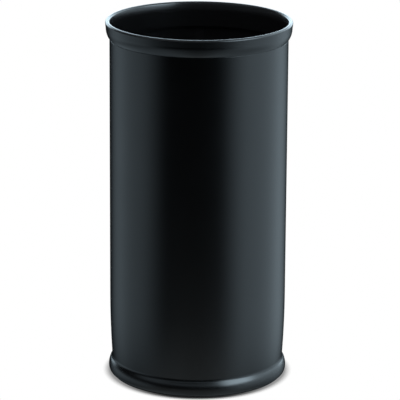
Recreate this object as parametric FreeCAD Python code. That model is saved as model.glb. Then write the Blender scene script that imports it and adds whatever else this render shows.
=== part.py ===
"""Cylindrical sheet-steel umbrella stand with a rolled rim, a beaded base ring and a lift-out drip tray.

Millimetres. +Z is up, the origin is the middle of the footprint on the floor, and the tube's
welded seam is at the back, on +Y.
"""
import FreeCAD, Part
import math
import os

# Driving dimensions
total_height = 490.0
tube_radius = 119.4
sheet = 0.8                # thickness of every steel sheet
slip = 0.05                # radial gap between pieces that are pressed together

# Top rim: spun ring that plugs into the tube, flares out, turns over a wire and comes down as a collar
rim_height = 24.0          # from the crease to the top of the lip
rim_flare = 4.9            # how far the collar stands out from the tube
rim_bend_top = 10.0        # how far below the top the collar starts to curve in
lip_radius = 3.0
lip_overhang = 0.75        # how far the lip stands out from the collar
flare_radius = 40.0        # outward curve of the rim's inner wall, up to the lip
spigot_depth = 10.0        # length of the rim that is inside the tube
wire_radius = 2.15
wire_gap_angle = 4.0       # degrees left open between the wire's two ends

# Lower end of the tube
neck_depth = 3.0           # how far the tube is drawn in above the base ring
neck_top_z = 110.0
groove_z = 21.5            # where the necked tube goes behind the base ring
tube_end_z = 4.6

# Base ring: hollow bead round the necked tube
bead_radius = 121.3
bead_top_angle = 36.0      # degrees that the bead's upper arc turns to reach the tube
hem_radius = 119.8         # lower outside corner of the bead
hem_z = 3.0
hem_inner_radius = 113.5   # inner edge of the turned-in hem under the tube

# Raised bottom
bottom_z = 19.0            # top of the bottom plate
corner_radius = 3.0
rib_radius = 70.0          # stiffening rib pressed into the plate
rib_width = 10.0
rib_depth = 2.0

# Rivets through the plate's flange and the tube, hidden behind the bead
rivet_count = 6
rivet_z = 11.0
rivet_shank_radius = 1.6
rivet_head_radius = 3.2
rivet_head_height = 1.0
rivet_tail_radius = 2.3
rivet_tail_length = 1.8

# Rubber ring under the base ring
foot_outer_radius = 117.0
foot_inner_radius = 111.8
foot_chamfer = 0.6
foot_lip_radius = 114.4    # outer reach of the lip that hooks over the hem
foot_lip_top_z = 5.3

# Seam of the tube
seam_overlap = 12.0
seam_line = 0.5            # width and depth of the fine line where the outer edge ends
weld_count = 9
weld_radius = 2.2
weld_depth = 0.2

# Drip tray
tray_gap = 0.3             # clearance under the tray
tray_wall = 1.8
tray_floor_radius = 105.0
tray_rim_radius = 113.0
tray_height = 24.0
tray_bend = 5.0            # outside radius between the tray's floor and its wall
tray_lip = 2.4             # width and thickness of the tray's rim
tray_rib_radii = (86.0, 60.0, 34.0)
tray_rib_height = 1.5
tray_rib_width = 3.2
grip_base_radius = 11.0
grip_neck_radius = 7.5
grip_cap_radius = 12.0
grip_cap_height = 4.0
grip_height = 20.0
grip_dish = 2.0            # how far the grip's top is hollowed

crease_z = total_height - rim_height
neck_radius = tube_radius - neck_depth
back_angle = 90.0
middle = FreeCAD.Vector(0, 0, 0)
up = FreeCAD.Vector(0, 0, 1)


def point(radius, z):
    """A point of a profile in the XZ plane."""
    return FreeCAD.Vector(radius, 0, z)


def line(start, end):
    return Part.makeLine(point(*start), point(*end))


def arc(start, through, end):
    return Part.Arc(point(*start), point(*through), point(*end)).toShape()


def on_circle(centre, radius, degrees):
    """A point at an angle round a circle of a profile, measured from straight outwards."""
    turn = math.radians(degrees)
    return centre[0] + radius * math.cos(turn), centre[1] + radius * math.sin(turn)


def bend_radius(run, inset):
    """Radius of an arc that leaves a straight line smoothly and ends this far off it after a run."""
    return (run ** 2 + inset ** 2) / (2 * inset)


def spin(edges):
    """A solid of revolution about Z from the edges of one closed profile."""
    face = Part.Face(Part.Wire(Part.__sortEdges__(edges)))
    return face.revolve(middle, up, 360)


def closed(points):
    """The straight edges of a closed profile."""
    return [line(start, end) for start, end in zip(points, points[1:] + points[:1])]


def radial_cylinder(radius, start, end, angle, z):
    """A cylinder that lies along a radius of the stand."""
    turn = math.radians(angle)
    direction = FreeCAD.Vector(math.cos(turn), math.sin(turn), 0)
    base = direction * start + FreeCAD.Vector(0, 0, z)
    return Part.makeCylinder(radius, end - start, base, direction)


def rivet_angles():
    return [(i + 0.5) * 360.0 / rivet_count for i in range(rivet_count)]


def wall_sector(inner, outer, bottom, top, width, angle):
    """A curved strip of wall, so many millimetres wide, centred on an angle."""
    degrees = math.degrees(width / outer)
    base = FreeCAD.Vector(0, 0, bottom)
    ring = Part.makeCylinder(outer, top - bottom, base, up, degrees)
    core = Part.makeCylinder(inner, top - bottom, base)
    strip = ring.cut(core)
    strip.rotate(middle, up, angle - degrees / 2)
    return strip


def tube_side(offset):
    """The tube's wall line from its top to its lower end, set in by an offset."""
    drop = neck_top_z - groove_z
    bend = bend_radius(drop, neck_depth)
    half_drop = drop / 2
    half_inset = bend - math.sqrt(bend ** 2 - half_drop ** 2)
    radius = tube_radius - offset
    top = (radius, crease_z - slip)
    bend_start = (radius, neck_top_z)
    bend_middle = (radius - half_inset, neck_top_z - half_drop)
    bend_end = (neck_radius - offset, groove_z)
    bottom = (neck_radius - offset, tube_end_z)
    return top, bend_start, bend_middle, bend_end, bottom


def make_body_tube():
    outer = tube_side(0)
    inner = tube_side(sheet)
    edges = []
    for top, bend_start, bend_middle, bend_end, bottom in (outer, inner):
        edges.append(line(top, bend_start))
        edges.append(arc(bend_start, bend_middle, bend_end))
        edges.append(line(bend_end, bottom))
    edges.append(line(outer[0], inner[0]))
    edges.append(line(outer[-1], inner[-1]))
    tube = spin(edges)

    inside = tube_radius - sheet
    strip_top = crease_z - spigot_depth - 2
    lap = wall_sector(inside - sheet, inside + sheet / 2, neck_top_z + 2, strip_top, seam_overlap,
                      back_angle)
    tube = tube.fuse(lap)

    outer_edge = Part.makeBox(seam_line, seam_line, crease_z - neck_top_z,
                              FreeCAD.Vector(seam_overlap / 2, tube_radius - seam_line, neck_top_z))
    tube = tube.cut(outer_edge)
    for i in range(weld_count):
        z = neck_top_z + (strip_top - neck_top_z) * (i + 0.5) / weld_count
        dimple = radial_cylinder(weld_radius, tube_radius - weld_depth, tube_radius + 1, back_angle, z)
        tube = tube.cut(dimple)
    for angle in rivet_angles():
        hole = radial_cylinder(rivet_shank_radius + slip, neck_radius - 5, neck_radius + 5, angle, rivet_z)
        tube = tube.cut(hole)
    return tube


def lip_centre():
    return tube_radius + rim_flare + lip_overhang - lip_radius, total_height - lip_radius


def make_top_rim():
    """One sheet: spigot, inner wall that flares out, lip, and a collar that curves in to the crease."""
    lip = lip_centre()
    hidden_lip = lip_radius - sheet

    spigot_outer = tube_radius - sheet - slip
    spigot_inner = spigot_outer - sheet
    spigot_end = crease_z - spigot_depth
    flare_x = spigot_inner + flare_radius
    flare_turn = math.acos((flare_x - lip[0]) / (flare_radius - lip_radius))
    flare_centre = (flare_x, lip[1] - (flare_radius - lip_radius) * math.sin(flare_turn))
    flare_end = 180 - math.degrees(flare_turn)
    flare_middle = (180 + flare_end) / 2
    hidden_flare = flare_radius - sheet

    wall_radius = tube_radius + rim_flare
    bend_z = total_height - rim_bend_top
    drop = bend_z - crease_z
    bend = bend_radius(drop, rim_flare)
    bend_centre = (wall_radius - bend, bend_z)
    bend_end = -math.degrees(math.asin(drop / bend))
    hidden_bend = bend - sheet
    lean = -math.degrees(math.atan2(lip_overhang, lip[1] - bend_z))

    edges = [
        line((spigot_inner, spigot_end), (spigot_outer, spigot_end)),
        line((spigot_outer, spigot_end), (spigot_outer, flare_centre[1])),
        arc(on_circle(flare_centre, hidden_flare, 180), on_circle(flare_centre, hidden_flare, flare_middle),
            on_circle(flare_centre, hidden_flare, flare_end)),
        arc(on_circle(lip, hidden_lip, flare_end), on_circle(lip, hidden_lip, (flare_end + lean) / 2),
            on_circle(lip, hidden_lip, lean)),
        line(on_circle(lip, hidden_lip, lean), on_circle(bend_centre, hidden_bend, 0)),
        arc(on_circle(bend_centre, hidden_bend, 0), on_circle(bend_centre, hidden_bend, bend_end / 2),
            on_circle(bend_centre, hidden_bend, bend_end)),
        line(on_circle(bend_centre, hidden_bend, bend_end), on_circle(bend_centre, bend, bend_end)),
        arc(on_circle(bend_centre, bend, bend_end), on_circle(bend_centre, bend, bend_end / 2),
            on_circle(bend_centre, bend, 0)),
        line(on_circle(bend_centre, bend, 0), on_circle(lip, lip_radius, lean)),
        arc(on_circle(lip, lip_radius, lean), on_circle(lip, lip_radius, (flare_end + lean) / 2),
            on_circle(lip, lip_radius, flare_end)),
        arc(on_circle(flare_centre, flare_radius, flare_end),
            on_circle(flare_centre, flare_radius, flare_middle),
            on_circle(flare_centre, flare_radius, 180)),
        line((spigot_inner, flare_centre[1]), (spigot_inner, spigot_end)),
    ]
    return spin(edges)


def make_rim_wire():
    radius, z = lip_centre()
    wire = Part.makeTorus(radius, wire_radius, FreeCAD.Vector(0, 0, z), up, -180, 180,
                          360 - wire_gap_angle)
    wire.rotate(middle, up, back_angle + wire_gap_angle / 2)
    return wire


def make_base_ring():
    """Hollow bead: two arcs that share an upright tangent at the widest point, and a hem below."""
    top_turn = math.radians(bead_top_angle)
    top_radius = neck_radius + slip + sheet * math.cos(top_turn)
    upper = (bead_radius - top_radius) / (1 - math.cos(top_turn))
    bead_z = groove_z - upper * math.sin(top_turn)
    upper_centre = (bead_radius - upper, bead_z)
    lower_run = bead_z - hem_z
    lower = bend_radius(lower_run, bead_radius - hem_radius)
    lower_centre = (bead_radius - lower, bead_z)
    lower_end = -math.degrees(math.asin(lower_run / lower))
    inner_upper = upper - sheet
    inner_lower = lower - sheet
    inner_end = -math.degrees(math.asin((lower_run - sheet) / inner_lower))
    outer_top = on_circle(upper_centre, upper, bead_top_angle)
    inner_top = on_circle(upper_centre, inner_upper, bead_top_angle)
    edges = [
        arc(outer_top, on_circle(upper_centre, upper, bead_top_angle / 2), (bead_radius, bead_z)),
        arc((bead_radius, bead_z), on_circle(lower_centre, lower, lower_end / 2),
            on_circle(lower_centre, lower, lower_end)),
        line(on_circle(lower_centre, lower, lower_end), (hem_inner_radius, hem_z)),
        line((hem_inner_radius, hem_z), (hem_inner_radius, hem_z + sheet)),
        line((hem_inner_radius, hem_z + sheet), on_circle(lower_centre, inner_lower, inner_end)),
        arc(on_circle(lower_centre, inner_lower, inner_end),
            on_circle(lower_centre, inner_lower, inner_end / 2),
            (bead_radius - sheet, bead_z)),
        arc((bead_radius - sheet, bead_z), on_circle(upper_centre, inner_upper, bead_top_angle / 2),
            inner_top),
        line(inner_top, outer_top),
    ]
    return spin(edges)


def make_base_plate():
    """Inverted shallow pan: a plate with a stiffening rib and a flange that points down."""
    outer = neck_radius - sheet - slip
    corner = (outer - corner_radius, bottom_z - corner_radius)
    inner_corner = corner_radius - sheet
    rib_start = rib_radius - rib_width / 2
    rib_end = rib_radius + rib_width / 2
    under_z = bottom_z - sheet
    edges = [
        line((0, bottom_z), (rib_start, bottom_z)),
        arc((rib_start, bottom_z), (rib_radius, bottom_z - rib_depth), (rib_end, bottom_z)),
        line((rib_end, bottom_z), (corner[0], bottom_z)),
        arc(on_circle(corner, corner_radius, 90), on_circle(corner, corner_radius, 45),
            on_circle(corner, corner_radius, 0)),
        line((outer, corner[1]), (outer, tube_end_z)),
        line((outer, tube_end_z), (outer - sheet, tube_end_z)),
        line((outer - sheet, tube_end_z), (outer - sheet, corner[1])),
        arc(on_circle(corner, inner_corner, 0), on_circle(corner, inner_corner, 45),
            on_circle(corner, inner_corner, 90)),
        line((corner[0], under_z), (rib_end, under_z)),
        arc((rib_end, under_z), (rib_radius, under_z - rib_depth), (rib_start, under_z)),
        line((rib_start, under_z), (0, under_z)),
        line((0, under_z), (0, bottom_z)),
    ]
    plate = spin(edges)
    for angle in rivet_angles():
        hole = radial_cylinder(rivet_shank_radius + slip, outer - 5, outer + 5, angle, rivet_z)
        plate = plate.cut(hole)
    return plate


def make_base_rivets():
    outside = neck_radius + slip
    inside = neck_radius - 2 * sheet - 2 * slip
    dome = (rivet_head_radius ** 2 + rivet_head_height ** 2) / (2 * rivet_head_height)
    rivets = []
    for angle in rivet_angles():
        shank = radial_cylinder(rivet_shank_radius, inside - rivet_tail_length, outside + slip, angle,
                                rivet_z)
        tail = radial_cylinder(rivet_tail_radius, inside - rivet_tail_length, inside, angle, rivet_z)
        blank = radial_cylinder(rivet_head_radius, outside, outside + rivet_head_height, angle, rivet_z)
        turn = math.radians(angle)
        reach = outside + rivet_head_height - dome
        centre = FreeCAD.Vector(reach * math.cos(turn), reach * math.sin(turn), rivet_z)
        ball = Part.makeSphere(dome, centre)
        head = blank.common(ball)
        rivets.append(shank.fuse([tail, head]).removeSplitter())
    return Part.makeCompound(rivets)


def make_floor_ring():
    """Rubber ring that lies under the hem, with a lip that hooks over the hem's inner edge."""
    top = hem_z - slip
    lip_inside = hem_inner_radius - slip
    lip_under = hem_z + sheet + slip
    return spin(closed([
        (foot_inner_radius, 0),
        (foot_outer_radius - foot_chamfer, 0),
        (foot_outer_radius, foot_chamfer),
        (foot_outer_radius, top),
        (lip_inside, top),
        (lip_inside, lip_under),
        (foot_lip_radius, lip_under),
        (foot_lip_radius - foot_chamfer, foot_lip_top_z),
        (foot_inner_radius + foot_chamfer, foot_lip_top_z),
        (foot_inner_radius, foot_lip_top_z - foot_chamfer),
    ]))


def tray_wall_edges(floor_z, rim_z):
    """The tray from under its middle, round its leaning wall and rolled rim, to its floor inside."""
    wall_top = tray_rim_radius - tray_lip
    lean = math.degrees(math.atan2(wall_top - tray_floor_radius, tray_height))
    bend_centre = (tray_floor_radius - tray_bend, floor_z + tray_bend)
    inner_bend = tray_bend - tray_wall
    lip_centre = (tray_rim_radius - tray_lip / 2, rim_z - tray_lip / 2)
    return [
        line((0, floor_z), (bend_centre[0], floor_z)),
        arc(on_circle(bend_centre, tray_bend, -90), on_circle(bend_centre, tray_bend, -45),
            on_circle(bend_centre, tray_bend, -lean)),
        line(on_circle(bend_centre, tray_bend, -lean), (wall_top, rim_z - tray_lip)),
        line((wall_top, rim_z - tray_lip), (lip_centre[0], rim_z - tray_lip)),
        arc(on_circle(lip_centre, tray_lip / 2, -90), on_circle(lip_centre, tray_lip / 2, 0),
            on_circle(lip_centre, tray_lip / 2, 90)),
        line((lip_centre[0], rim_z), (wall_top - tray_wall, rim_z)),
        line((wall_top - tray_wall, rim_z), on_circle(bend_centre, inner_bend, -lean)),
        arc(on_circle(bend_centre, inner_bend, -lean), on_circle(bend_centre, inner_bend, -45),
            on_circle(bend_centre, inner_bend, -90)),
    ]


def tray_rib_edges(start_radius, floor_z):
    """The tray's floor inside, with low rings that keep umbrella tips out of the water."""
    edges = []
    reached = start_radius
    for radius in tray_rib_radii:
        half = tray_rib_width / 2
        edges.append(line((reached, floor_z), (radius + half, floor_z)))
        crest = (radius, floor_z + tray_rib_height)
        edges.append(arc((radius + half, floor_z), crest, (radius - half, floor_z)))
        reached = radius - half
    edges.append(line((reached, floor_z), (grip_base_radius, floor_z)))
    return edges


def tray_grip_edges(floor_z):
    """Waisted finger grip with a dished top, in the middle of the tray."""
    top = floor_z + grip_height
    cap_z = top - grip_cap_height
    cap_edge = grip_cap_radius - grip_cap_height / 2
    waist_z = (floor_z + cap_z) / 2
    dish_radius = bend_radius(cap_edge, grip_dish)
    dish_centre = (0, top - grip_dish + dish_radius)
    dish_half_angle = math.degrees(math.asin(cap_edge / dish_radius)) / 2
    return [
        arc((grip_base_radius, floor_z), (grip_neck_radius, waist_z), (cap_edge, cap_z)),
        arc((cap_edge, cap_z), (grip_cap_radius, (cap_z + top) / 2), (cap_edge, top)),
        arc((cap_edge, top), on_circle(dish_centre, dish_radius, dish_half_angle - 90),
            (0, top - grip_dish)),
    ]


def make_drip_tray():
    floor_z = bottom_z + tray_gap
    inside_z = floor_z + tray_wall
    edges = tray_wall_edges(floor_z, floor_z + tray_height)
    edges += tray_rib_edges(tray_floor_radius - tray_bend, inside_z)
    edges += tray_grip_edges(inside_z)
    edges.append(line((0, inside_z + grip_height - grip_dish), (0, floor_z)))
    return spin(edges)


sub_parts = {
    "body_tube": make_body_tube,
    "top_rim": make_top_rim,
    "rim_wire": make_rim_wire,
    "base_ring": make_base_ring,
    "base_plate": make_base_plate,
    "base_rivets": make_base_rivets,
    "floor_ring": make_floor_ring,
    "drip_tray": make_drip_tray,
}

os.makedirs("parts", exist_ok=True)
for name, make in sub_parts.items():
    shape = make()
    shape.exportStep(f"parts/{name}.step")
    print(f"{name}: {len(shape.Solids)} solid(s), valid {shape.isValid()}, "
          f"{shape.Volume / 1000:.1f} cm3, box {shape.BoundBox}")
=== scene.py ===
"""Looks of the black powder-coated umbrella stand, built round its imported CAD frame. Metres, +Z up."""
import bmesh
import bpy
import math
from mathutils import Matrix, Vector


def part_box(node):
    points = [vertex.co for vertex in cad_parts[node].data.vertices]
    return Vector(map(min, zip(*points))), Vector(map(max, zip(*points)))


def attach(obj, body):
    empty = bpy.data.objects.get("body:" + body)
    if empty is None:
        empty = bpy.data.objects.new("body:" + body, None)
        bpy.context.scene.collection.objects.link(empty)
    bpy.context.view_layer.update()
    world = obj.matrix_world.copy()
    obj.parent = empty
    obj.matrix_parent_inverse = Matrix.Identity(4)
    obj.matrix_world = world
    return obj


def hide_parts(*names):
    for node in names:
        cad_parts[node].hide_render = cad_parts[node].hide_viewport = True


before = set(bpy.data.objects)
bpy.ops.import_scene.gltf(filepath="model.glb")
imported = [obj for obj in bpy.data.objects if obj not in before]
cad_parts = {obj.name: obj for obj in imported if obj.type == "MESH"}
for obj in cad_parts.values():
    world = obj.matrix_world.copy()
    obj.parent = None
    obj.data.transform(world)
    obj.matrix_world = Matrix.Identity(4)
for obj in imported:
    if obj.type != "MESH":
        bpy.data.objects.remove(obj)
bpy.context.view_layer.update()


# Sizes read from the frame
tube_low, tube_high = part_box("body_tube")
rim_low, rim_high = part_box("top_rim")
ring_low, ring_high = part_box("base_ring")
plate_low, plate_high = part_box("base_plate")
foot_low, foot_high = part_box("floor_ring")
tray_low, tray_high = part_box("drip_tray")

tube_radius = tube_high.x
top_z = rim_high.z
rim_radius = rim_high.x
crease_z = tube_high.z
bead_radius = ring_high.x
hem_z = ring_low.z
plate_radius = plate_high.x

# Sizes that no box gives
sheet = 0.0008
slip = 0.00005             # radial gap between pieces that are pressed together

# Top rim
rim_height = 0.024         # from the crease to the top of the lip
rim_flare = 0.0049         # how far the collar stands out from the tube
rim_bend_top = 0.010       # how far below the top the collar starts to curve in
lip_radius = 0.003
flare_radius = 0.040       # outward curve of the rim's inner wall, up to the lip
spigot_depth = 0.010       # length of the rim that is inside the tube

# Lower end of the tube, and the base ring
neck_depth = 0.003         # how far the tube is drawn in above the base ring
neck_top_z = 0.110
groove_z = 0.0215          # where the necked tube goes behind the base ring
bead_top_angle = 36        # degrees that the bead's upper arc turns to reach the tube
joint_fillet = 0.011       # concave radius of the painted joint between the tube and the bead
hem_radius = 0.1198        # lower outside corner of the bead
hem_inner_radius = 0.1135

# Raised bottom
rib_radius = 0.070         # stiffening rib pressed into the plate
rib_width = 0.010
rib_depth = 0.002
plate_bend = 0.0026

# Rubber ring
foot_inner_radius = 0.1118
foot_lip_radius = 0.1144   # outer reach of the lip that hooks over the hem
foot_lip_lean = 0.0006

# Seam of the tube
seam_overlap = 0.012
seam_line = 0.0005         # width of the fine line where the outer edge ends
seam_step = 0.0003         # depth of that line
lap_margin = 0.002         # how far the lap stops short of the neck and of the rim's spigot
weld_count = 9
weld_radius = 0.0022
weld_depth = 0.0002
weld_reach = 1.3           # how far a weld's dimple reaches, in weld radii

# Drip tray
tray_wall = 0.0018
tray_lip = 0.0024          # width and thickness of the tray's rim
tray_floor_radius = 0.105
tray_rib_radii = (0.086, 0.060, 0.034)
tray_rib_size = 0.0015     # radius of each rib's half-round section

# The tray's grip, from the floor round it to its dished top: radius, height and rounding
grip_corners = (
    (0.0160, 0.0000, 0),
    (0.0102, 0.0000, 0.003),
    (0.0068, 0.0090, 0.012),
    (0.0095, 0.0155, 0.003),
    (0.0122, 0.0160, 0.0012),
    (0.0120, 0.0200, 0.0014),
    (0.0085, 0.0194, 0.004),
    (0.0000, 0.0180, 0),
)

# Fineness of the meshes
columns = 360              # columns of faces round every turned piece
closest_columns = 0.0008   # radians; a regular column nearer than this to an extra one is left out
same_place = 1e-6          # points closer together than this are one point


# ---- profiles: lists of (radius, z) ----

def on_circle(centre, radius, degrees):
    """A point at an angle round a circle of a profile, measured from straight outwards."""
    turn = math.radians(degrees)
    return centre[0] + radius * math.cos(turn), centre[1] + radius * math.sin(turn)


def arc(centre, radius, start, end, steps):
    """Points round a circle from one angle to another, in degrees from straight outwards."""
    return [on_circle(centre, radius, start + (end - start) * i / steps) for i in range(steps + 1)]


def bend_radius(run, inset):
    """Radius of an arc that leaves a straight line smoothly and ends this far off it after a run."""
    return (run ** 2 + inset ** 2) / (2 * inset)


def rounded(corner_list, steps=6):
    """A line through corners given as (radius, z, rounding), with each corner turned into an arc."""
    points = []
    for i, (x, z, rounding) in enumerate(corner_list):
        here = Vector((x, z))
        if rounding == 0 or i in (0, len(corner_list) - 1):
            points.append((x, z))
            continue
        back = (Vector(corner_list[i - 1][:2]) - here).normalized()
        ahead = (Vector(corner_list[i + 1][:2]) - here).normalized()
        half_angle = back.angle(ahead) / 2
        centre = here + (back + ahead).normalized() * rounding / math.sin(half_angle)
        start = here + back * rounding / math.tan(half_angle) - centre
        turn = start.angle_signed(here + ahead * rounding / math.tan(half_angle) - centre)
        for k in range(steps + 1):
            points.append(tuple(centre + Matrix.Rotation(-turn * k / steps, 2) @ start))
    return points


def closed_rounded(corner_list):
    """A closed outline through corners given as (radius, z, rounding)."""
    looped = [corner_list[-1]] + corner_list + [corner_list[0]]
    return rounded(looped)[1:-1]


def without_repeats(points):
    """The points of a line without those that lie on the one before."""
    kept = [points[0]]
    for point in points[1:]:
        if math.dist(point, kept[-1]) > same_place:
            kept.append(point)
    return kept


def sheet_outline(path, end_steps=4):
    """The outline of a bent sheet from the line along its middle. A free end is rounded off."""
    path = [Vector(p) for p in without_repeats(path)]
    half = sheet / 2
    left, right = [], []
    for i, here in enumerate(path):
        along = (path[min(i + 1, len(path) - 1)] - path[max(i - 1, 0)]).normalized()
        side = Vector((-along.y, along.x)) * half
        left.append(here + side)
        right.append(here - side)
    outline = [tuple(p) for p in left]
    outline += round_end(path[-1], left[-1], end_steps)
    outline += [tuple(p) for p in reversed(right)]
    if path[0].x > 0:
        outline += round_end(path[0], right[0], end_steps)
    return outline


def round_end(centre, start, steps):
    """The half circle that closes a free end of a sheet, without its first and last point."""
    spoke = start - centre
    return [tuple(centre + Matrix.Rotation(-math.pi * k / steps, 2) @ spoke) for k in range(1, steps)]


# ---- meshes ----

def even_angles(extra=()):
    """Angles of the columns, from +X, with extra ones for local detail."""
    regular = [2 * math.pi * i / columns for i in range(columns)]
    kept = [a for a in regular if all(abs(a - b) > closest_columns for b in extra)]
    return sorted(kept + list(extra))


def turned(name, outline, angles=None, shift=None):
    """A solid of revolution from a closed outline. shift(index, angle, z) moves a point outwards."""
    angles = angles or even_angles()
    outline = without_repeats(outline)
    if math.dist(outline[0], outline[-1]) < same_place:
        outline = outline[:-1]
    vertices, rings = [], []
    for index, (radius, z) in enumerate(outline):
        if radius < same_place:
            rings.append([len(vertices)] * len(angles))
            vertices.append((0, 0, z))
            continue
        rings.append(list(range(len(vertices), len(vertices) + len(angles))))
        for angle in angles:
            reach = radius + (shift(index, angle, z) if shift else 0)
            vertices.append((reach * math.cos(angle), reach * math.sin(angle), z))
    faces = []
    for ring, following in zip(rings, rings[1:] + rings[:1]):
        for i in range(len(angles)):
            j = (i + 1) % len(angles)
            face = list(dict.fromkeys((ring[i], ring[j], following[j], following[i])))
            if len(face) > 2:
                faces.append(face)
    mesh = bpy.data.meshes.new(name)
    mesh.from_pydata(vertices, [], faces)
    piece = bpy.data.objects.new(name, mesh)
    bpy.context.scene.collection.objects.link(piece)
    make_solid_shading(piece)
    return piece


def make_solid_shading(piece):
    """Outward normals, and smooth shading that long flat faces keep flat."""
    work = bmesh.new()
    work.from_mesh(piece.data)
    bmesh.ops.recalc_face_normals(work, faces=work.faces)
    work.to_mesh(piece.data)
    work.free()
    piece.data.shade_smooth()
    weighted = piece.modifiers.new("weighted normals", "WEIGHTED_NORMAL")
    weighted.weight = 100
    weighted.keep_sharp = True


# ---- the steel pieces ----

def tube_path():
    """Middle line of the tube's sheet, from its top edge down to its hidden lower end."""
    radius = tube_radius - sheet / 2
    drop = neck_top_z - groove_z
    bend = bend_radius(drop, neck_depth)
    end_angle = -math.degrees(math.asin(drop / bend))
    straight_top = groove_z - 0.001
    path = [(radius, crease_z - sheet / 2)]
    path += [(radius, z) for z in seam_rows()]
    path += arc((radius - bend, neck_top_z), bend, 0, end_angle, 16)
    path.append((radius - neck_depth, straight_top))
    path.append((radius - neck_depth, tube_low.z + sheet / 2))
    return path


def lap_ends():
    """Heights where the strip lapped inside the seam starts and ends."""
    return neck_top_z + lap_margin, crease_z - spigot_depth - lap_margin


def weld_centres():
    low, high = neck_top_z, lap_ends()[1]
    return [low + (high - low) * (i + 0.5) / weld_count for i in range(weld_count)]


def seam_rows():
    """Heights of the tube's rows from the top down: close together at a spot weld or a lap's end."""
    edge_step = 0.0002
    rows = set(lap_ends()) | {z + edge_step for z in lap_ends()}
    for z in weld_centres():
        rows |= {z + weld_radius * k / 4 for k in range(-5, 6)}
    return sorted(rows, reverse=True)


def smooth_step(value):
    """A ramp from 0 to 1 with soft ends."""
    value = min(max(value, 0), 1)
    return value * value * (3 - 2 * value)


def seam_shift(outer_count):
    """How the seam moves the tube's surface: a lap inside, and an edge line and spot welds outside."""
    low, high = lap_ends()
    line_centre = -(seam_overlap + seam_line) / 2
    line_bottom = groove_z + 0.012

    def shift(index, angle, z):
        across = (angle - math.pi / 2) * tube_radius
        if abs(across) > seam_overlap:
            return 0
        outside = index < outer_count
        if not outside:
            lapped = abs(across) < seam_overlap / 2 and low <= z <= high
            return -sheet if lapped else 0
        on_line = abs(across - line_centre) < seam_line * 0.6
        move = -seam_step if on_line and z > line_bottom else 0
        for centre in weld_centres():
            away = math.hypot(across, z - centre) / weld_radius
            if away < weld_reach:
                move = min(move, -weld_depth * smooth_step(weld_reach - away))
        return move

    return shift


def seam_angles():
    """Extra columns across the seam, so that its edges and spot welds have a shape."""
    half = seam_overlap / 2
    across = [-half + k * seam_line / 2 for k in (-3, -2, -1, 0, 1)]
    across += [weld_radius * k / 3 for k in range(-4, 5)]
    across += [half, half + 0.0002, -half - 0.002]
    return [math.pi / 2 + x / tube_radius for x in across]


def make_tube():
    """Rolled tube. Its outside ends at the second point of the rounded lower edge."""
    path = tube_path()
    outer_count = len(path) + 2
    return turned("tube", sheet_outline(path), even_angles(seam_angles()), seam_shift(outer_count))


def make_rim():
    """One sheet: spigot in the tube, inner wall that flares out, lip round the wire, and a collar."""
    half = sheet / 2
    spigot = tube_radius - sheet - slip - half
    lip = (rim_radius - lip_radius, top_z - lip_radius)
    flare_x = spigot - half + flare_radius
    flare_turn = math.acos((flare_x - lip[0]) / (flare_radius - lip_radius))
    flare_centre = (flare_x, lip[1] - (flare_radius - lip_radius) * math.sin(flare_turn))
    flare_end = 180 - math.degrees(flare_turn)

    wall_radius = tube_radius + rim_flare
    bend_z = top_z - rim_bend_top
    drop = rim_height - rim_bend_top
    bend = bend_radius(drop, rim_flare)
    edge_room = 0.6            # degrees left for the sheet's rounded edge
    bend_end = edge_room - math.degrees(math.asin(drop / bend))
    bend_centre = (wall_radius - bend, bend_z)
    lean = -math.degrees(math.atan2(rim_radius - wall_radius, lip[1] - bend_z))

    path = [(spigot, rim_low.z + half)]
    path += arc(flare_centre, flare_radius - half, 180, flare_end, 16)
    path += arc(lip, lip_radius - half, flare_end, lean, 32)[1:]
    path += arc(bend_centre, bend - half, 0, bend_end, 28)
    return turned("rim", sheet_outline(path, end_steps=6))


def make_base_ring():
    """Hollow bead that runs up into the necked tube in a fillet, with a hem turned in under it."""
    grip_radius = tube_radius - neck_depth + slip
    top_turn = math.radians(bead_top_angle)
    upper = (bead_radius - grip_radius - sheet * math.cos(top_turn)) / (1 - math.cos(top_turn))
    bead_z = groove_z - upper * math.sin(top_turn)
    upper_centre = (bead_radius - upper, bead_z)
    lower = bend_radius(bead_z - hem_z, bead_radius - hem_radius)
    lower_centre = (bead_radius - lower, bead_z)
    lower_end = -math.degrees(math.asin((bead_z - hem_z) / lower))

    tube_face = grip_radius + 2 * slip
    fillet_x = tube_face + joint_fillet
    fillet_turn = math.acos((fillet_x - upper_centre[0]) / (upper + joint_fillet))
    fillet_z = bead_z + (upper + joint_fillet) * math.sin(fillet_turn)
    fillet_end = 180 + math.degrees(fillet_turn)

    # Outside and inside, the lower arc stops short of its end and leaves room for the hem's corner
    outer = arc((fillet_x, fillet_z), joint_fillet, 180, fillet_end, 12)
    outer += arc(upper_centre, upper, math.degrees(fillet_turn), 0, 20)
    outer += arc(lower_centre, lower, 0, lower_end * 0.9, 20)
    inner = arc(lower_centre, lower - sheet, lower_end * 0.8, 0, 20)
    inner += arc(upper_centre, upper - sheet, 0, bead_top_angle, 20)
    hem_top = hem_z + sheet
    hem = rounded([
        (*outer[-1], 0),
        (hem_radius, hem_z, 0.0011),
        (hem_inner_radius, hem_z, 0.0003),
        (hem_inner_radius, hem_top, 0.0003),
        (inner[0][0], hem_top, 0.0008),
        (*inner[0], 0),
    ], 8)
    return turned("bead_ring", outer + hem + inner + [(grip_radius, groove_z)])


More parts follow.
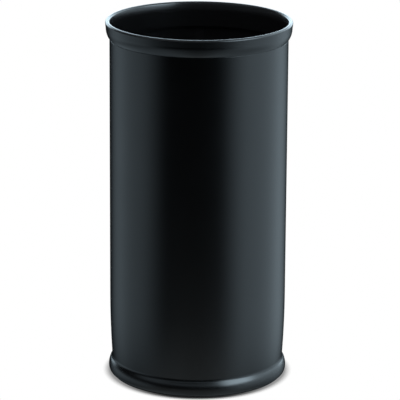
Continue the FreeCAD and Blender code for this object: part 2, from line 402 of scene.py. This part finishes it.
def make_base_plate():
    """Raised bottom: a plate with a pressed ring rib, and a flange that points down."""
    half = sheet / 2
    level = plate_high.z - half
    edge = plate_radius - half
    rib_bend = 0.003
    path = rounded([
        (0, level, 0),
        (rib_radius - rib_width / 2, level, rib_bend),
        (rib_radius - rib_width / 6, level - rib_depth, rib_bend),
        (rib_radius + rib_width / 6, level - rib_depth, rib_bend),
        (rib_radius + rib_width / 2, level, rib_bend),
        (edge, level, plate_bend),
        (edge, plate_low.z + half, 0),
    ], 8)
    return turned("bottom_plate", sheet_outline(path))


# ---- rubber and plastic ----

def make_foot():
    """Rubber ring on the floor, hooked over the inner edge of the hem."""
    inside_hem = hem_inner_radius - slip
    under_hem = hem_z - slip
    over_hem = hem_z + sheet + slip
    return turned("foot", closed_rounded([
        (foot_inner_radius, foot_low.z, 0.0004),
        (foot_high.x, foot_low.z, 0.0007),
        (foot_high.x, under_hem, 0.0005),
        (inside_hem, under_hem, 0),
        (inside_hem, over_hem, 0),
        (foot_lip_radius, over_hem, 0.0003),
        (foot_lip_radius - foot_lip_lean, foot_high.z, 0.0005),
        (foot_inner_radius, foot_high.z, 0.0006),
    ]))


def make_tray():
    """Drip tray: dish with a rolled lip, three ring ribs and a waisted grip."""
    floor = tray_low.z
    inside = floor + tray_wall
    rim = tray_high.z
    outer = tray_high.x
    wall_top = outer - tray_lip
    slope = (wall_top - tray_floor_radius) / (rim - floor)
    outline = rounded([
        (0, floor, 0),
        (tray_floor_radius, floor, 0.005),
        (wall_top - slope * tray_lip, rim - tray_lip, 0.0005),
        (outer, rim - tray_lip, 0.0011),
        (outer, rim, 0.0012),
        (wall_top - tray_wall, rim, 0.0006),
        (tray_floor_radius - tray_wall, inside, 0.0032),
        (0.09, inside, 0),
    ], 8)
    for rib in tray_rib_radii:
        outline += arc((rib, inside), tray_rib_size, 0, 180, 10)
    grip = [(radius, inside + height, rounding) for radius, height, rounding in grip_corners]
    return turned("tray", outline + rounded(grip, 8))


# ---- materials ----

def new_material(name):
    material = bpy.data.materials.new(name)
    material.use_nodes = True
    return material, material.node_tree.nodes, material.node_tree.links


def feed(links, socket, value):
    """Gives a socket a number, or another node's output."""
    if isinstance(value, (int, float)):
        socket.default_value = value
    else:
        links.new(value, socket)


def map_range(nodes, links, value, low, high, new_low, new_high, interpolation="LINEAR"):
    """A number that goes from new_low to new_high, and no further, as value goes from low to high."""
    node = nodes.new("ShaderNodeMapRange")
    node.interpolation_type = interpolation
    ends = {"From Min": low, "From Max": high, "To Min": new_low, "To Max": new_high, "Value": value}
    for socket_name, end in ends.items():
        feed(links, node.inputs[socket_name], end)
    return node.outputs["Result"]


def noise(nodes, links, coordinate, scale):
    """A noise pattern with so many waves to the metre, as its factor output."""
    texture = nodes.new("ShaderNodeTexNoise")
    texture.inputs["Scale"].default_value = scale
    links.new(coordinate, texture.inputs["Vector"])
    return texture.outputs["Fac"]


def blend_colours(nodes, links, factor, dark, light):
    mix = nodes.new("ShaderNodeMix")
    mix.data_type = "RGBA"
    links.new(factor, mix.inputs["Factor"])
    mix.inputs["A"].default_value = (*dark, 1)
    mix.inputs["B"].default_value = (*light, 1)
    return mix.outputs["Result"]


def add_bump(nodes, links, height, distance, strength):
    bump = nodes.new("ShaderNodeBump")
    bump.inputs["Strength"].default_value = strength
    bump.inputs["Distance"].default_value = distance
    links.new(height, bump.inputs["Height"])
    return bump.outputs["Normal"]


def varied_material(name, tones, roughness, grain=None, metallic=0):
    """A surface whose colour and roughness vary a little from place to place.

    tones and roughness each give a scale in waves to the metre, and the two ends of the range. grain
    gives a scale, a height in metres and a strength.
    """
    material, nodes, links = new_material(name)
    shader = nodes["Principled BSDF"]
    shader.inputs["Metallic"].default_value = metallic
    where = nodes.new("ShaderNodeTexCoord").outputs["Object"]

    tone_scale, dark, light = tones
    colour = blend_colours(nodes, links, noise(nodes, links, where, tone_scale), dark, light)
    links.new(colour, shader.inputs["Base Color"])

    # A noise pattern mostly lies between 0.3 and 0.7
    gloss_scale, low, high = roughness
    gloss = map_range(nodes, links, noise(nodes, links, where, gloss_scale), 0.3, 0.7, low, high)
    links.new(gloss, shader.inputs["Roughness"])

    if grain:
        grain_scale, height, strength = grain
        bump = add_bump(nodes, links, noise(nodes, links, where, grain_scale), height, strength)
        links.new(bump, shader.inputs["Normal"])
    return material


def powder_coat():
    """Satin black powder coat: fine orange peel, slightly uneven gloss."""
    return varied_material("powder coat", tones=(9, (0.0075, 0.0080, 0.0088), (0.0100, 0.0108, 0.0118)),
                           roughness=(14, 0.235, 0.265), grain=(700, 0.00002, 0.5))


def moulded_plastic():
    """Matt black plastic with a fine moulded texture."""
    return varied_material("moulded plastic", tones=(25, (0.022, 0.022, 0.024), (0.030, 0.030, 0.033)),
                           roughness=(90, 0.45, 0.58), grain=(1800, 0.00004, 1))


def foot_rubber():
    """Dull black rubber."""
    return varied_material("foot rubber", tones=(120, (0.010, 0.010, 0.010), (0.022, 0.021, 0.020)),
                           roughness=(300, 0.7, 0.85), grain=(900, 0.00005, 1))


def bare_steel(name, tone):
    """Drawn or plated steel that the paint doesn't reach."""
    return varied_material(name, tones=(400, [tone * 0.85] * 3, [tone] * 3),
                           roughness=(900, 0.3, 0.45), metallic=1)


# ---- studio ----

def calculate(nodes, links, operation, *values):
    """A maths node. Each value is a number or another node's output."""
    step = nodes.new("ShaderNodeMath")
    step.operation = operation
    for socket, value in zip(step.inputs, values):
        feed(links, socket, value)
    return step.outputs[0]


def by_ray(nodes, links, kind, matching, others):
    """A shader that one kind of ray sees, and another shader for every other ray."""
    rays = nodes.new("ShaderNodeLightPath")
    mix = nodes.new("ShaderNodeMixShader")
    links.new(rays.outputs[kind], mix.inputs[0])
    links.new(others, mix.inputs[1])
    links.new(matching, mix.inputs[2])
    return mix.outputs[0]


def angles_of(nodes, links, direction):
    """The azimuth of a direction, from the front to the right, and its elevation."""
    parts = nodes.new("ShaderNodeSeparateXYZ")
    links.new(direction, parts.inputs[0])
    toward_front = calculate(nodes, links, "MULTIPLY", parts.outputs["Y"], -1)
    azimuth = calculate(nodes, links, "ARCTAN2", parts.outputs["X"], toward_front)
    return azimuth, calculate(nodes, links, "ARCSINE", parts.outputs["Z"])


def soft_window(nodes, links, angle, centre, half_width, softness):
    """1 near an angle and 0 away from it, with a soft edge. All in degrees."""
    offset = calculate(nodes, links, "SUBTRACT", angle, math.radians(centre))
    wrapped = calculate(nodes, links, "WRAP", offset, math.pi, -math.pi)
    away = calculate(nodes, links, "ABSOLUTE", wrapped)
    outer = math.radians(half_width + softness)
    inner = math.radians(half_width - softness)
    return map_range(nodes, links, away, outer, inner, 0, 1, "SMOOTHSTEP")


# Softboxes round the stand: azimuth from the front to the right, its half width and softness, the same
# for the elevation, all in degrees, and brightness
softboxes = {
    "right wall": (95, 48, 22, 9, 36, 12, 1.22),
    "left wall": (-98, 38, 22, -12, 12, 8, 0.71),
    "back wall": (164, 52, 15, 52, 34, 8, 1.1),
    "back strip": (180, 40, 12, 9, 10, 5, 3.8),
    "floor": (0, 200, 1, -72, 44, 6, 0.11),
    "right floor": (90, 60, 30, -60, 35, 10, 0.50),
    "left floor": (-100, 70, 30, -60, 32, 12, 0.38),
    "right lift": (112, 30, 14, 24, 14, 8, 0.9),
    "key": (58, 22, 8, 29, 14, 6, 6.6),
    "front": (0, 40, 15, 30, 8, 5, 0.42),
    "front left": (-65, 22, 12, 33, 13, 6, 0.45),
}
softbox_tint = (0.80, 1.0, 1.13, 1)
fill_brightness = 0.05     # even light from all round that reaches the matt surfaces


def make_world():
    """White behind everything, softboxes in the reflections, and a weak even light."""
    world = bpy.data.worlds.new("studio")
    world.use_nodes = True
    bpy.context.scene.world = world
    nodes, links = world.node_tree.nodes, world.node_tree.links
    nodes.clear()
    direction = nodes.new("ShaderNodeTexCoord").outputs["Generated"]
    azimuth, elevation = angles_of(nodes, links, direction)

    total = 0
    for side, half_width, side_soft, height, half_height, height_soft, brightness in softboxes.values():
        across = soft_window(nodes, links, azimuth, side, half_width, side_soft)
        upright = soft_window(nodes, links, elevation, height, half_height, height_soft)
        glow = calculate(nodes, links, "MULTIPLY", across, upright)
        total = calculate(nodes, links, "MULTIPLY_ADD", glow, brightness, total)

    seen_in_gloss = nodes.new("ShaderNodeBackground")
    seen_in_gloss.inputs["Color"].default_value = softbox_tint
    links.new(total, seen_in_gloss.inputs["Strength"])
    soft_fill = nodes.new("ShaderNodeBackground")
    soft_fill.inputs["Strength"].default_value = fill_brightness
    backdrop = nodes.new("ShaderNodeBackground")
    backdrop.inputs["Color"].default_value = (1, 1, 1, 1)

    lights = by_ray(nodes, links, "Is Glossy Ray", seen_in_gloss.outputs[0], soft_fill.outputs[0])
    output = nodes.new("ShaderNodeOutputWorld")
    links.new(by_ray(nodes, links, "Is Camera Ray", backdrop.outputs[0], lights), output.inputs[0])


def fading(nodes, links, distance, rate):
    """1 at no distance, falling off exponentially at so much to the metre."""
    return calculate(nodes, links, "EXPONENT", calculate(nodes, links, "MULTIPLY", distance, -rate))


def contact_shadow(nodes, links, in_front):
    """The floor that the camera sees: white, with a painted contact shadow, darker close to the stand
    and darkest in front of it.
    """
    side_shade, front_extra = 0.30, -0.28
    covered, uncovered = 0.45, 0.97
    closeness = nodes.new("ShaderNodeAmbientOcclusion")
    closeness.inputs["Distance"].default_value = 0.011
    darkest = calculate(nodes, links, "MULTIPLY_ADD", in_front, front_extra, side_shade)
    seen = nodes.new("ShaderNodeEmission")
    shade = map_range(nodes, links, closeness.outputs["AO"], covered, uncovered, darkest, 1)
    links.new(shade, seen.inputs["Color"])
    return seen.outputs[0]


def floor_in_gloss(nodes, links, where, in_front):
    """The floor that the coat reflects: a painted glow of light in front, and painted shade close to the
    stand all round that lets less of the walls through.
    """
    patch_brightness = 0.32
    # Painted shade: how much of the walls' light the floor takes away right at the stand
    painted_shade_at_stand = -0.7
    reach = nodes.new("ShaderNodeVectorMath")
    reach.operation = "LENGTH"
    links.new(where, reach.inputs[0])
    outside = calculate(nodes, links, "SUBTRACT", reach.outputs["Value"], tube_radius)

    # Painted light: the floor glows in front of the stand and fades away from it, and only the coat's
    # reflections show it
    patch = nodes.new("ShaderNodeEmission")
    patch.inputs["Color"].default_value = (0.9, 1.0, 1.03, 1)
    lit = calculate(nodes, links, "MULTIPLY", fading(nodes, links, outside, 3), in_front)
    links.new(calculate(nodes, links, "MULTIPLY", lit, patch_brightness), patch.inputs["Strength"])

    # Painted shade: light seen through the floor is darkened close to the stand, all round
    clear = nodes.new("ShaderNodeBsdfTransparent")
    near = fading(nodes, links, outside, 14)
    links.new(calculate(nodes, links, "MULTIPLY_ADD", near, painted_shade_at_stand, 1), clear.inputs["Color"])

    both = nodes.new("ShaderNodeAddShader")
    links.new(clear.outputs[0], both.inputs[0])
    links.new(patch.outputs[0], both.inputs[1])
    return both.outputs[0]


def pale_floor():
    """One floor for the camera and another, which only the coat's reflections show, for other rays."""
    material, nodes, links = new_material("pale floor")
    nodes.clear()
    where = nodes.new("ShaderNodeTexCoord").outputs["Object"]
    azimuth, _ = angles_of(nodes, links, where)
    in_front = soft_window(nodes, links, azimuth, 0, 38, 25)
    seen = contact_shadow(nodes, links, in_front)
    in_gloss = floor_in_gloss(nodes, links, where, in_front)
    output = nodes.new("ShaderNodeOutputMaterial")
    links.new(by_ray(nodes, links, "Is Camera Ray", seen, in_gloss), output.inputs[0])
    return material


def make_floor():
    """Plain white floor, wide enough to fill every view, with a painted shadow only where the stand
    meets it.
    """
    radius = 3
    around = [math.radians(a) for a in range(0, 360, 5)]
    edge = [(radius * math.cos(a), radius * math.sin(a), 0) for a in around]
    mesh = bpy.data.meshes.new("studio_floor")
    mesh.from_pydata(edge, [], [range(len(edge))])
    mesh.materials.append(pale_floor())
    floor = bpy.data.objects.new("studio_floor", mesh)
    bpy.context.scene.collection.objects.link(floor)
    floor.visible_diffuse = False


def make_top_lamp():
    """Large soft lamp high over the stand. It lights the inside and the tray, and has no reflection."""
    lamp_data = bpy.data.lights.new("top lamp", "AREA")
    lamp_data.shape = "DISK"
    lamp_data.size = 1.0
    lamp_data.energy = 140
    lamp = bpy.data.objects.new("top lamp", lamp_data)
    lamp.location = (0, 0, 3)
    lamp.visible_camera = False
    lamp.visible_glossy = False
    bpy.context.scene.collection.objects.link(lamp)


def make_camera():
    """A long lens from a little above the stand's rim."""
    place = Vector((0, -3.585, 1.269))
    aim = Vector((0.0026, 0, 0.2412))
    roll = 0.0062
    camera = bpy.data.objects.new("camera", bpy.data.cameras.new("camera"))
    bpy.context.scene.collection.objects.link(camera)
    camera.data.lens = 247.8
    turn = (aim - place).to_track_quat("-Z", "Y").to_matrix().to_4x4()
    camera.matrix_world = Matrix.Translation(place) @ turn @ Matrix.Rotation(roll, 4, "Z")
    bpy.context.scene.camera = camera


def show_true_colours():
    """Colours as they are lit, with no film look."""
    scene = bpy.context.scene
    scene.view_settings.view_transform = "Standard"
    scene.view_settings.look = "None"


def fit(piece, body, node, material):
    """Puts a new piece in place of a CAD node."""
    piece.data.materials.clear()
    piece.data.materials.append(material)
    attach(piece, body)
    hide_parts(node)


def repaint(node, material):
    """Gives a CAD node that keeps its own shape a better material."""
    node_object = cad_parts[node]
    node_object.data.materials.clear()
    node_object.data.materials.append(material)


coat = powder_coat()
fit(make_tube(), "stand", "body_tube", coat)
fit(make_rim(), "stand", "top_rim", coat)
fit(make_base_ring(), "stand", "base_ring", coat)
fit(make_base_plate(), "stand", "base_plate", coat)
fit(make_foot(), "stand", "floor_ring", foot_rubber())
fit(make_tray(), "tray", "drip_tray", moulded_plastic())
repaint("rim_wire", bare_steel("wire steel", 0.45))
repaint("base_rivets", bare_steel("rivet steel", 0.5))

make_world()
make_floor()
make_top_lamp()
make_camera()
show_true_colours()
